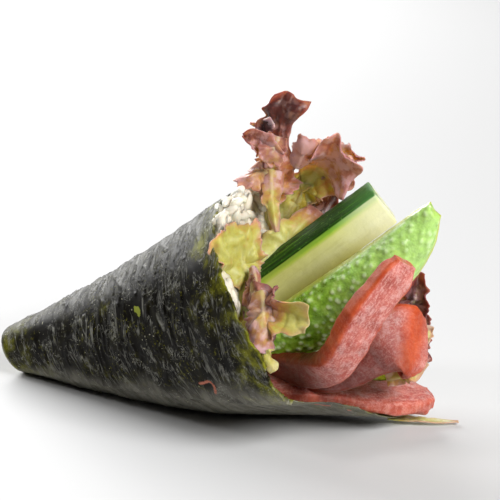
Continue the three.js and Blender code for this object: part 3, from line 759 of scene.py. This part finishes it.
TUNA["tuna_fold"] = dict(
    path=[(14, -7, 15), (32, -11, 17), (39, -12, 20), (44.5, -12, 24.5), (48.5, -11.5, 28.5), (50.5, -8, 29),
          (51.5, -4, 28), (51, 1, 26)], faces=[(0.475, -0.824, 0.309), (0.94, 0.33, 0.1)], turns=(0.7, 1),
    width=[(0, 6), (0.4, 9), (0.5, 13), (0.6, 17), (0.7, 19), (0.85, 18), (1, 13)], thick=(4, 5, 7),
    pink=[(0, 1), (0.6, 1), (0.68, 0.05), (0.84, 0.1), (0.93, 0.7), (1, 0.8)], slant=-0.12, sides=0,
    dark=[(0, 1), (0.5, 0.8), (0.6, 0.55), (0.66, 0.45), (0.74, 0), (1, 0)])
TUNA_SQUARE = 0.55  # how square a strip's section is: 1 is an ellipse and 0 a rectangle


def tuna(name, seed):
    strip = TUNA[name]
    path = Curve(strip["path"])
    t = np.r_[0:0.93:170j, 0.935:1:30j]
    blunt = 1 - 0.35 * smooth(t, 0.94, 1) ** 2 - 0.3 * smooth(1 - t, 0.94, 1)
    a, b = along(strip["width"], t) / 2 * blunt, along(strip["thick"], t) / 2 * blunt
    turn = 2 * np.pi * (np.arange(84) + 0.5) / 84
    u, v = [np.sign(k) * np.abs(k) ** TUNA_SQUARE for k in (np.cos(turn), np.sin(turn))]
    section = stacked(a[:, None] * u, b[:, None] * v)
    places = swept_rings(path, strip["faces"], strip["turns"], t, section)
    pink = along(strip["pink"], t[:, None] + strip["slant"] * u)
    broad = mix(strip["sides"], pink, smooth(np.abs(v) - np.abs(u), -0.15, 0.15))
    run, dark = t[:, None] * path.length, along(strip["dark"], t)[:, None]
    rings = np.concatenate([places, stacked(broad, run, section[..., 0], dark)], -1)
    piece = ringed(name + "_strip", rings, ("broad", "run", "across", "dark"), caps=8)
    places, _ = surface_points(piece)
    run, across = channel_values(piece, "run"), channel_values(piece, "across")
    fibres = noise(stacked(run / 3.2, across / 0.8, places[:, 2] / 3), seed + 2)
    lumps = 0.35 * noise(places / 7, seed) + 0.2 * rough(places / 2.4, seed + 1)
    relief(piece, lumps + 0.13 * fibres)
    return dress(piece, tuna_finish(), name)


# ---- lettuce

LEAF = 0.4  # thickness
LEAF_STEP = 0.33  # between points of a leaf's mesh
SHOWN = unit(vec(0.47, -0.82, 0.31))  # towards whoever looks at the shown side
# for each lobe: its spine, its half widths to the left and the right along it, its shade at even steps
# along it, from green at 0 to dark red at 1, and the rest: cup bends it across, ruffle waves its edge
# in folds, frill crumples the edge, blisters the blade, and bloom is how mauve it is
LEAVES = {}
LEAVES["lettuce_tall"] = [
    ([(1, 9, 41), (5, 8, 48), (5, 8, 60), (7.5, 7.5, 66.5), (9, 7, 72), (9, 6.5, 77.5), (10.5, 6, 84)],
     [(0, 2.3), (0.3, 2.4), (0.43, 3), (0.52, 4.5), (0.66, 4.5), (0.72, 2.7), (0.79, 5.6), (0.84, 6.2),
      (0.87, 5), (0.91, 6), (0.95, 4.4), (1, 2.4)],
     [(0, 2.3), (0.3, 2.8), (0.43, 6), (0.52, 6.5), (0.6, 5.6), (0.66, 4), (0.72, 1.8), (0.8, 2.2),
      (0.9, 4.4), (0.96, 6), (1, 6.3)], (0.3, 0.4, 0.55, 0.8, 1.1),
     dict(face=(0.14, -0.96, -0.26), cup=1.6, ruffle=1.2, folds=4.3, frill=0.9)),
    ([(10, 2, 68), (7, 0.5, 71), (4.5, -1, 73.5), (1.5, -1.5, 75)], [(0, 2), (0.4, 2), (0.8, 1.5), (1, 0.6)],
     [(0, 3), (0.4, 3.6), (0.7, 3.4), (1, 0.8)], (0.5, 0.65, 0.85), dict(cup=1.4, frill=0.35, blisters=0.5)),
    ([(9.5, 4.5, 74), (9.5, 2, 71.5), (9.5, 0.5, 69.5), (9, 0.5, 68)], (2, 3.3, 2.6), (2.8, 4, 2.6),
     (0.62, 0.6, 0.45), dict(cup=1.2, frill=0.3, blisters=0.5, bloom=0.3)),
    ([(7.5, 5.5, 77.5), (5, 5, 76), (3, 4.5, 76.5), (1, 4, 77)], (1.2, 1.2, 0.4), (1.6, 1.6, 0.4),
     (0.6, 0.6), dict(cup=0.8, bloom=2)),
    ([(8.5, 7, 63), (5.5, 3, 64.5), (4, -0.5, 64), (2.5, -3, 63)], [(0, 5), (0.4, 6), (0.7, 3.5), (1, 0.5)],
     [(0, 2.5), (0.4, 2.2), (0.7, 1.5), (1, 0.8)], (0.4, 0.5), dict(cup=-2, frill=0.7, bloom=1.5)),
    ([(7.5, 4.5, 65), (10.5, -0.5, 57), (12, -2, 54), (13, -2.5, 51)], (3.5, 2.2, 0.4), (3, 2.4, 0.4),
     (0.5, 0.3, 0.15), dict(cup=-1.2, frill=0.3)),
]
LEAVES["lettuce_back"] = [
    ([(4, 15, 41), (9, 15, 54), (16, 14, 64), (22, 11, 71), (24.5, 9, 75.5)],
     [(0, 4.5), (0.15, 5), (0.26, 4.6), (0.43, 4.6), (0.56, 4.3), (0.66, 5.2), (0.74, 4), (0.82, 3.4),
      (0.9, 4), (1, 2.5)],
     [(0, 3.4), (0.26, 2.7), (0.43, 4.2), (0.57, 6.4), (0.63, 8.4), (0.68, 7.2), (0.74, 9), (0.8, 7.4),
      (0.88, 8.2), (0.94, 6.5), (1, 5)], (0.08, 0.1, 0.3, 0.58, 0.6),
     dict(face=(0.03, -0.95, -0.31), cup=2, ruffle=1.6, folds=4, frill=0.8, bloom=1.4)),
    ([(8.5, -5, 40), (10.5, 0.5, 44), (13, 5, 47.5), (15, 9.5, 51), (16.5, 14, 54)],
     [(0, 3), (0.3, 4.6), (0.6, 4.6), (1, 2.5)], (2.5, 3, 2.5), (0.12, 0.2, 0.5),
     dict(cup=-0.6, ruffle=0.4, frill=0.35, blisters=0.5, bloom=0.6)),
    ([(13, 8, 65.5), (14.5, 7.5, 68.5), (16, 7, 71.5), (17, 7.5, 74.5)],
     [(0, 1.6), (0.25, 3), (0.6, 3.4), (1, 2.8)], [(0, 1.2), (0.3, 2.6), (0.6, 3.8), (0.8, 4.4), (1, 1.5)],
     (0.62, 0.62, 0.7), dict(cup=-1, frill=0.25, blisters=0.4, bloom=2.2)),
    ([(10.5, 15, 59), (16, 17.5, 64), (21, 20.5, 67), (26, 22, 66.5)],
     [(0, 1), (0.3, 4), (0.5, 7), (0.65, 6), (0.8, 2.5), (1, 0.4)],
     [(0, 2), (0.4, 3), (0.7, 4.5), (0.85, 2.5), (1, 0.4)], (0.3, 0.55), dict(cup=2, frill=0.7, bloom=1.4)),
    ([(15, 18.5, 58.5), (19.5, 20.5, 60.5), (22, 21, 61), (24, 21.5, 62.5)],
     [(0, 1.5), (0.6, 1.2), (1, 0.3)], [(0, 2), (0.5, 3), (0.75, 2.5), (1, 0.3)], (0.5, 0.6),
     dict(cup=1, frill=0.6, bloom=1.8)),
]
LEAVES["lettuce_inner"] = [
    ([(7, 22.5, 43), (9, 24, 49), (12, 24, 53), (18, 21, 58)], [(0, 2), (0.3, 2.4), (1, 3)],
     [(0, 2.9), (0.3, 3.5), (0.7, 4.2), (1, 5)], (0.7, 0.9),
     dict(face=(-0.03, -0.99, -0.12), cup=2.5, ruffle=1.3, folds=2.5, frill=1.0)),
]
LEAVES["lettuce_front"] = [
    ([(12, -15, 36), (11, -15.5, 41.5), (10, -15.5, 47.5), (8, -15, 52.5), (7.5, -14.5, 55.5)],
     [(0, 1.4), (0.15, 3), (0.35, 7), (0.5, 9.6), (0.65, 10.6), (0.82, 10.5), (0.92, 7), (1, 3.5)],
     [(0, 1.2), (0.2, 3), (0.45, 5), (0.6, 5.6), (0.85, 7.5), (1, 8.5)], (0.3, 0.27, 0.3),
     dict(face=(0.94, -0.3, 0.2), cup=0.8, ruffle=0.5, blisters=0.7)),
    ([(13.5, -17, 45.5), (15.5, -19, 42.5), (16.5, -22, 39), (17.5, -25.5, 35)],
     [(0, 0.8), (0.3, 1.8), (0.6, 2.4), (1, 1.4)], [(0, 0.8), (0.3, 1.8), (0.6, 2.2), (1, 1.4)], (0.6, 0.45),
     dict(cup=-1, frill=0.45)),
    ([(12.5, -16.5, 40.5), (14, -21.5, 36.5), (18, -26, 32.5), (23, -29.5, 28.5)], (2, 3, 1.5),
     (2, 2.5, 1.5), (0.1, 0.3), dict(cup=-1)),
]
LEAVES["lettuce_frill"] = [
    ([(13.5, -18, 42), (17, -22.5, 40.5), (23.5, -27, 38), (29, -28.5, 37), (33.5, -28.5, 36.5)],
     [(0, 1.5), (0.2, 3), (0.42, 5), (0.6, 4.4), (0.75, 4.6), (1, 3.6)],
     [(0, 1), (0.3, 3), (0.5, 3.6), (0.62, 3.2), (0.74, 5.2), (0.82, 3), (0.92, 3), (1, 1.2)],
     (0.7, 0.72, 0.66, 0.4, 0.15),
     dict(face=(-0.23, -0.93, 0.3), cup=1, ruffle=1.4, folds=2.2, frill=0.6, blisters=0.8, bloom=0.3)),
    ([(20, -24.5, 42), (22, -27.5, 38.5), (23.5, -31.5, 34.5), (24.5, -34, 30.5)],
     [(0, 1.5), (0.3, 3), (0.6, 4.4), (0.85, 3.6), (1, 1.4)],
     [(0, 2.2), (0.3, 3.6), (0.6, 3.4), (0.85, 2.4), (1, 1)], (0.5, 0.45, 0.5, 0.5),
     dict(cup=-1.4, ruffle=0.8, blisters=0.8, bloom=1.2)),
    ([(23, -30, 30), (25, -32, 29), (26, -33, 27.5), (27.5, -32.5, 26)], (1, 1.8, 1.2), (1, 1.8, 1.2),
     (0.25, 0.1), dict(cup=-0.8, bloom=0)),
]
LEAVES["lettuce_side"] = [
    ([(30, 9.5, 24), (41, 11.5, 26.5), (51, 9.5, 28)],
     [(0, 5), (0.1, 7), (0.22, 9), (0.5, 13), (0.7, 15), (0.85, 14), (1, 10)],
     [(0, 4.3), (0.15, 5.7), (0.3, 8), (0.45, 10), (0.6, 11), (0.93, 10), (1, 8)], (0.45, 0.7, 0.8),
     dict(face=(-0.08, -1, 0.02), cup=3.5, ruffle=1.6, folds=3.5)),
    ([(48, 4, 30.5), (48.5, 5, 35), (49, 5.5, 39), (49, 6.5, 42.5)], (3, 3, 1),
     [(0, 3), (0.4, 3.6), (0.8, 2.2), (1, 0.8)], (0.85, 0.95), dict(frill=0.6)),
    ([(46, 4.5, 22), (49, 6, 24.5), (51.5, 7, 26.5), (53, 8, 27)], [(0, 2), (0.6, 3), (1, 1.2)],
     [(0, 2), (0.6, 2.5), (1, 1)], (0.1, 0), dict(cup=1)),
    ([(43.5, 0.5, 15), (46.5, 1.5, 16), (50, 3, 18), (51.5, 4.5, 20)], (1.5, 2.4, 0.8), (1.5, 2, 0.8),
     (0.4, 0.12), dict(cup=0.6, frill=0.7)),
]
LEAVES["lettuce_low"] = [
    ([(40, 10, 1.3), (51, 14.5, 0.7), (57, 17.5, 0.4)], [(0, 1.8), (0.3, 2.2), (1, 0.9)],
     [(0, 1.8), (0.3, 2.2), (1, 0.9)], (0.1, 0),
     dict(face=(0, 0, 1), cup=0.2, ruffle=0.15, frill=0, blisters=0.15)),
]


def lobe(seed, spine, left, right, red, face=SHOWN, cup=1.5, ruffle=0.6, folds=2, frill=0.5,
         blisters=1.0, bloom=1.0):
    """One lobe of a leaf: a grid of points with its channels, and its thickness."""
    curve = Curve(spine)
    wide = sum(np.array(half, float).reshape(len(half), -1)[:, -1].max() for half in (left, right))
    long = curve.length
    v = np.linspace(0, 1, int(long / LEAF_STEP) + 2)[:, None]
    u = np.linspace(0, 1, int(wide / LEAF_STEP) + 2)[None, :]
    share = 2 * u - 1
    t = curve.even(v[:, 0])
    tangent = curve.tangent(t)
    side = unit(np.cross(tangent, unit(vec(*face))))
    normal = np.cross(side, tangent)
    half = mix(along(left, v), along(right, v), smooth(share, -0.4, 0.4))
    x, y = half * share, v * long + 0 * u
    inward = -1.2 * np.log(np.exp((np.abs(x) - half) / 1.2) + np.exp((y - long) / 1.2))
    inward = np.maximum(inward, 0)
    margin_place = np.arctan2(x, y - 0.45 * long) * 0.4 * wide
    grown = smooth(v, 0.08, 0.4)

    wave = np.abs(share) ** 3 * np.sin(2 * np.pi * folds * v + np.where(share > 0, 2, 0))
    end = 0.5 * smooth(v, 0.75, 1) * np.sin(9 * u + 1)
    lift = cup * share**2 + ruffle * (smooth(v, 0.1, 0.6) * wave + end)
    frills = 2.6 * np.exp(-inward / 4) * folded(stacked(margin_place / 4.2, inward / 9, 0), seed)
    frills += 1.5 * np.exp(-inward / 2.2) * folded(stacked(margin_place / 2.2, inward / 5, 3), seed + 1)
    frills += 0.6 * np.exp(-inward / 1.1) * noise(stacked(margin_place / 0.8, inward / 2, 5), seed + 2)
    flat = stacked(x, y, 0)
    blister = 0.9 * np.abs(noise(flat / 2.6, seed + 3)) + 1.1 * noise(flat / 5.5, seed + 4)
    lift = lift + grown * (frill * frills + blisters * blister)
    jags = 1.3 * noise(stacked(margin_place / 1.3, 7, 0), seed + 5)
    jags = jags + 1.1 * noise(stacked(margin_place / 0.6, 9, 0), seed + 6)
    outward = mix(0.2, 1, frill) * grown * np.exp(-inward / 1.3) * jags
    x = x + outward * np.sign(share) * np.abs(share) ** 3
    y = y + outward * smooth(v, 0.8, 1)
    place = curve.point(t)[:, None] + tangent[:, None] * (y - v * long)[..., None]
    place = place + side[:, None] * x[..., None] + normal[:, None] * lift[..., None]

    spread = np.abs(x)
    midrib = 1 - smooth(spread / min(1, wide / 12), 0.25, mix(1.3, 0.45, v))
    midrib = midrib * (1 - smooth(v, 0.4, 0.8))
    veins = (y - 0.9 * spread + 1.2 * noise(flat / 4, seed + 7)) / 4.4 % 1
    veins = smooth(np.abs(veins - 0.5), 0.44, 0.5) * (1 - smooth(inward, 3, 0.5))
    rib = np.maximum(midrib, 0.4 * veins * (1 - smooth(v, 0.5, 0.9)))
    shade = np.interp(v, np.linspace(0.2, 0.92, len(red)), red) + 0.15 * np.exp(-inward / 2.5)
    margin = np.exp(-inward / 0.4) * grown
    thickness = LEAF * (1 - 0.4 * margin) * (1 + 0.8 * midrib)
    return np.concatenate([place, stacked(shade, rib, margin, bloom)], -1), thickness


def lettuce(name, seed):
    sheets = [lobe(seed + 20 * k, *main, **rest) for k, (*main, rest) in enumerate(LEAVES[name])]
    piece = joined_sheets(name + "_leaf", sheets, ("red", "rib", "margin", "bloom"))
    return dress(piece, LETTUCE, name)


# ---- rice

RICE_WALL = -NORI_SHEET - GAP
RICE_PAST = (-3, 3.5)  # past the rim at the bottom and at the top
RICE_HOLLOW = 6  # how far it falls back behind the front leaves
RICE_LIMIT = (107, 119)  # as far as it reaches anywhere
RICE_BULGE = 2.5
RICE_LUMP = 2.6
GRAIN_LENGTH = 6.2
GRAIN_WIDTH = 2.8
# for each layer: how many grains are tried, how far apart they are and how far out from the core
GRAIN_LAYERS = [(5200, 2.5, -0.6), (3600, 3.3, 0.45)]
GRAIN_REACH = 2.3  # from a grain's middle to where its ends are tested
ROOM_TO_FILLING = 1.25
ROOM_TO_NORI = 1.5


def rice_front(degrees):
    """Slant distance that the rice reaches: past the rim at the top, and short of it elsewhere."""
    turn = wrapped(degrees)
    hollow = RICE_HOLLOW * smooth(turn, 20, 45) * (1 - smooth(turn, 90, 108))
    past_rim = mix(*RICE_PAST, smooth(np.abs(turn), 110, 165)) - hollow
    return np.minimum(rim(degrees) + past_rim, mix(*RICE_LIMIT, smooth(np.abs(turn), 40, 90)))


def rice_face(degrees, share):
    """A point of the heap's face, from its middle (share 0) to its edge (share 1)."""
    around = np.arange(0, 360, 5)
    centre = wrap(rice_front(around), around, RICE_WALL).mean(0) - 4 * AXIS
    edge = wrap(rice_front(degrees), degrees, RICE_WALL)
    share = np.asarray(share)[..., None]
    return mix(centre, edge, share) + AXIS * RICE_BULGE * (1 - share)


def rice_core():
    degrees = np.linspace(360, 0, 300, endpoint=False)[None, :]
    shares = np.linspace(0.05, 1, 150)[:, None]
    wall = wrap(mix(TIP + 2.4, rice_front(degrees), shares), degrees, RICE_WALL)
    face = rice_face(np.broadcast_to(degrees, (60, 300)), np.linspace(0.985, 0.03, 60)[:, None])
    piece = ringed("rice_core", np.concatenate([wall, face]))
    places, _ = surface_points(piece)
    lumps = 0.5 - np.minimum(pebbles(places / RICE_LUMP, 14), 0.8)
    relief(piece, 0.9 * lumps * smooth(dot(places - APEX, AXIS), 88, 96))
    return dress(piece, RICE, "rice")


def grain_shape():
    """One cooked grain: plump, a little bent, with a small notch at the germ."""
    rows, columns = 7, 10
    polar = np.linspace(0, np.pi, rows + 2)[1:-1, None]
    around = np.linspace(0, 2 * np.pi, columns, endpoint=False)[None, :]
    ring = np.sin(polar) ** 0.85
    x = np.cos(polar) + 0 * around
    y = ring * np.cos(around) + 0.1 * (1 - x**2) - 0.12 * smooth(x, 0.55, 0.95) * (np.cos(around) > 0.3)
    z = 0.88 * ring * np.sin(around)
    points = np.concatenate([stacked(x, y, z).reshape(-1, 3), [[1, 0, 0], [-1, 0, 0]]])
    return points * vec(GRAIN_LENGTH, GRAIN_WIDTH, GRAIN_WIDTH) / 2, tube_faces(rows, columns)


def tree_of(pieces):
    """A search tree over several meshes, in millimetres."""
    points, faces = [], []
    for piece in pieces:
        places, _ = surface_points(piece)
        faces += [[i + len(points) for i in polygon.vertices] for polygon in piece.data.polygons]
        points += places.tolist()
    return BVHTree.FromPolygons(points, faces)


def is_free(tree, place, room):
    """Whether a place is outside the meshes of a tree and at least room away from them."""
    found, normal, _, distance = tree.find_nearest(Vector(place))
    return distance > room and (Vector(place) - found).dot(normal) > 0


def rice_grains(core, fillings, sheet):
    """Loose grains over the core, wherever they lie clear of the fillings and the nori."""
    random = np.random.default_rng(41)
    heap, others, wall = tree_of([core]), tree_of(fillings), tree_of([sheet])
    shape, shape_faces = grain_shape()
    points, faces = [], []
    for tries, apart, lift in GRAIN_LAYERS:
        kept = []
        for _ in range(tries):
            degrees = random.uniform(0, 360)
            share = math.sqrt(random.uniform(0, 1))
            place = rice_face(degrees, share)
            proud = share > 0.9 and abs(wrapped(degrees)) > 150
            if proud:
                place = wrap(rice_front(degrees) - random.uniform(0, 3.4), degrees, RICE_WALL)
            tilt, spin = random.uniform(-0.4, 0.4, 2), random.uniform(0, 2 * math.pi)
            size = random.uniform(0.86, 1.1, 3)
            found, normal, _, _ = heap.find_nearest(Vector(place))
            centre = np.array(found) + np.array(normal) * lift
            if any(length(other - centre) < apart for other in kept):
                continue
            turn = Vector(normal).to_track_quat("Z", "Y").to_matrix() @ Matrix.Rotation(spin, 3, "Z")
            turn = turn @ Matrix.Rotation(tilt[0], 3, "Y") @ Matrix.Rotation(tilt[1], 3, "X")
            turn = np.array(turn)
            ends = [centre + turn[:, 0] * reach for reach in (-GRAIN_REACH, 0, GRAIN_REACH)]
            if not all(is_free(others, end, ROOM_TO_FILLING) for end in ends):
                continue
            if not proud and not all(is_free(wall, end, ROOM_TO_NORI) for end in ends):
                continue
            kept.append(centre)
            faces += [[i + len(points) * len(shape) for i in face] for face in shape_faces]
            points.append(shape * size @ turn.T + centre)
    piece = mesh_piece("rice_grains", np.concatenate(points), faces)
    return dress(piece, RICE, "rice")


# ---- stage

VIEW_AZIMUTH = math.radians(30)
VIEW_ELEVATION = math.radians(18)
VIEW_DISTANCE = 600
SENSOR = 36
PICTURE = 500  # pixels across
PIXELS_PER_MM = 3.7  # at the distance of the point looked past
LOOKED_PAST = vec(-28, 0, 15)
PAST_X, PAST_Y = 143.2, 338  # where that point lies in the picture
FLOOR_REACH = 4.0  # metres, as are the lamps' places
FLOOR_HEIGHT = -0.0001


def camera():
    back = vec(math.sin(VIEW_AZIMUTH) * math.cos(VIEW_ELEVATION),
               -math.cos(VIEW_AZIMUTH) * math.cos(VIEW_ELEVATION), math.sin(VIEW_ELEVATION))
    right = vec(math.cos(VIEW_AZIMUTH), math.sin(VIEW_AZIMUTH), 0)
    up = np.cross(back, right)
    eye = LOOKED_PAST + back * VIEW_DISTANCE
    focal = PIXELS_PER_MM * VIEW_DISTANCE
    ahead = -back + right * (PICTURE / 2 - PAST_X) / focal - up * (PICTURE / 2 - PAST_Y) / focal
    back = -unit(ahead)
    right = unit(right - back * dot(right, back))
    up = np.cross(back, right)
    data = bpy.data.cameras.new("camera")
    data.sensor_width = SENSOR
    data.lens = focal / PICTURE * SENSOR
    data.clip_start, data.clip_end = 0.05, 20
    shot = placed("camera", data)
    turn = Matrix(np.array([right, up, back]).T).to_4x4()
    shot.matrix_world = Matrix.Translation(Vector(eye * MM)) @ turn
    bpy.context.scene.camera = shot


def lamp(name, place, target, size, power):
    data = bpy.data.lights.new(name, "AREA")
    data.shape = "RECTANGLE"
    data.size, data.size_y = size
    data.energy = power
    light = placed(name, data)
    light.location = Vector(place)
    light.rotation_euler = (Vector(target) - Vector(place)).to_track_quat("-Z", "Y").to_euler()


def studio():
    """Soft light: bright above and behind, dim on the shown side."""
    world = bpy.data.worlds.new("studio")
    world.use_nodes = True
    nodes = Nodes(world.node_tree)
    way = nodes.add("TexCoord", {}).outputs["Generated"]
    height = nodes.add("SeparateXYZ", {"Vector": way}).outputs["Z"]
    behind = nodes.add("VectorMath", {0: way, 1: tuple(-SHOWN)}, operation="DOT_PRODUCT")
    behind = nodes.step(behind.outputs["Value"], 0.1, 0.75)
    bright = nodes.math("MAXIMUM", nodes.step(height, 0.25, 0.85), behind)
    strength = nodes.plus(nodes.times(bright, 1.25), 0.2)
    nodes.put(world.node_tree.nodes["Background"].inputs["Strength"], strength)
    bpy.context.scene.world = world
    bpy.context.scene.view_settings.view_transform = "Standard"


def stage():
    mesh = bpy.data.meshes.new("floor")
    corners = [(-1, -1), (1, -1), (1, 1), (-1, 1)]
    corners = [(FLOOR_REACH * x, FLOOR_REACH * y, FLOOR_HEIGHT) for x, y in corners]
    mesh.from_pydata(corners, [], [(0, 1, 2, 3)])
    finish = Finish("floor", 0.2)
    mesh.materials.append(finish.fill({"Base Color": (0.62, 0.62, 0.62, 1), "Roughness": 0.6}))
    placed("floor", mesh)
    studio()
    lamp("key", (0.75, -0.25, 0.6), (0.01, 0, 0.03), (0.45, 0.45), 13)
    lamp("back", (-0.75, 0.45, 0.45), (0, 0, 0.03), (0.9, 0.5), 14)
    lamp("front", (-0.45, -0.5, 0.75), (0, 0, 0.03), (0.2, 0.2), 1.5)


# ---- the roll

RICE = rice_finish()
LETTUCE = lettuce_finish()

camera()
stage()
sheet = nori()
fillings = [cucumber(), avocado()]
fillings += [tuna(name, 50 + 7 * k) for k, name in enumerate(TUNA)]
fillings += [lettuce(name, 100 + 31 * k) for k, name in enumerate(LEAVES)]
core = rice_core()
rice_grains(core, fillings, sheet)
